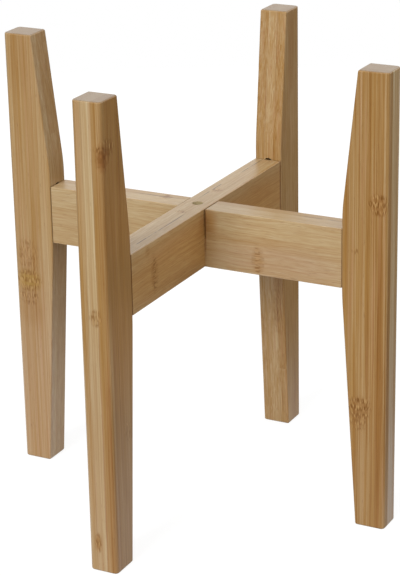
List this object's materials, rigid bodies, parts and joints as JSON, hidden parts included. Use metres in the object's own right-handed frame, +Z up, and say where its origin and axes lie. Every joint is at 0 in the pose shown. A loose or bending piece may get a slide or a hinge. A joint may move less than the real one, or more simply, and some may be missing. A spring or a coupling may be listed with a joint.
{
  "type": "plant stand",
  "caption": "Laminated bamboo plant stand: tapered legs set on the ends of cross-lapped rails that carry a pot between them.",
  "frame": {"origin": "on the floor, under the middle of the crossing", "axes": "+Z up; X along the lower rail and Y along the upper rail, so -Y points at the front left leg and +X at the front right leg"},
  "size_m": [0.358, 0.358, 0.4],
  "materials": {
    "legs": "satin clear lacquer on laminated bamboo",
    "rails": "satin clear lacquer on laminated bamboo",
    "screw": "zinc-plated steel"
  },
  "bodies": {
    "root": {"leg_front_left": "legs", "leg_front_right": "legs", "leg_back_left": "legs", "leg_back_right": "legs", "cross_rail_upper": "rails", "cross_rail_lower": "rails", "centre_screw": "screw"}
  },
  "joints": []
}
